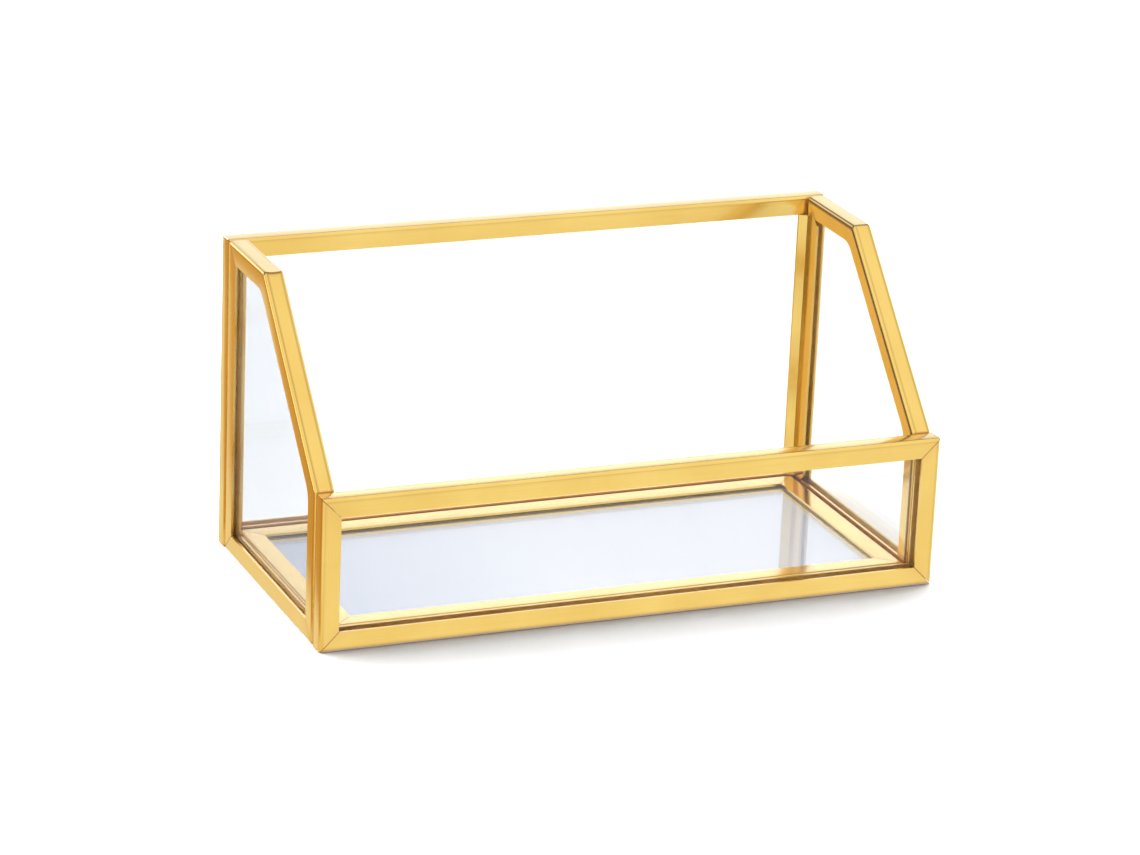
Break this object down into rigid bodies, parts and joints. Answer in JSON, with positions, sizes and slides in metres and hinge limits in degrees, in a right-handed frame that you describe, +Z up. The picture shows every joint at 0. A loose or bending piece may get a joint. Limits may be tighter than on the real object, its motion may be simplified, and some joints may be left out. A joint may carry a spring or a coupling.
{
  "type": "glass card holder box",
  "caption": "Open-topped clear glass box in gold channel frames, with a tall back, sloping sides and a low front, that holds a stack of place or message cards.",
  "frame": {"origin": "centre of the footprint at the underside, on the table", "axes": "+X to the right along the width, +Y towards the tall back panel, +Z up"},
  "size_m": [0.104, 0.0504, 0.0518],
  "materials": {
    "gold_brass": "bright gold, lightly brushed along each rail, with small solder-burnished mitres",
    "clear_glass": "clear polished float glass with a faint cool tint at its edges",
    "floor_glass": "clear polished float glass, a little greyer because it lies over its own shadow",
    "solder": "dull gold solder, set back in the seams"
  },
  "bodies": {
    "root": {"front_bottom_rail": "gold_brass", "front_right_stile": "gold_brass", "front_top_rail": "gold_brass", "front_left_stile": "gold_brass", "front_glass": "clear_glass", "back_bottom_rail": "gold_brass", "back_right_stile": "gold_brass", "back_top_rail": "gold_brass", "back_left_stile": "gold_brass", "back_glass": "clear_glass", "left_bottom_rail": "gold_brass", "left_rear_stile": "gold_brass", "left_bent_rail": "gold_brass", "left_glass": "clear_glass", "right_bottom_rail": "gold_brass", "right_rear_stile": "gold_brass", "right_bent_rail": "gold_brass", "right_glass": "clear_glass", "floor_front_rail": "gold_brass", "floor_right_rail": "gold_brass", "floor_back_rail": "gold_brass", "floor_left_rail": "gold_brass", "floor_glass": "floor_glass", "front_left_solder": "solder", "front_right_solder": "solder", "back_left_solder": "solder", "back_right_solder": "solder", "floor_front_solder": "solder", "floor_back_solder": "solder", "floor_left_solder": "solder", "floor_right_solder": "solder"}
  },
  "joints": []
}
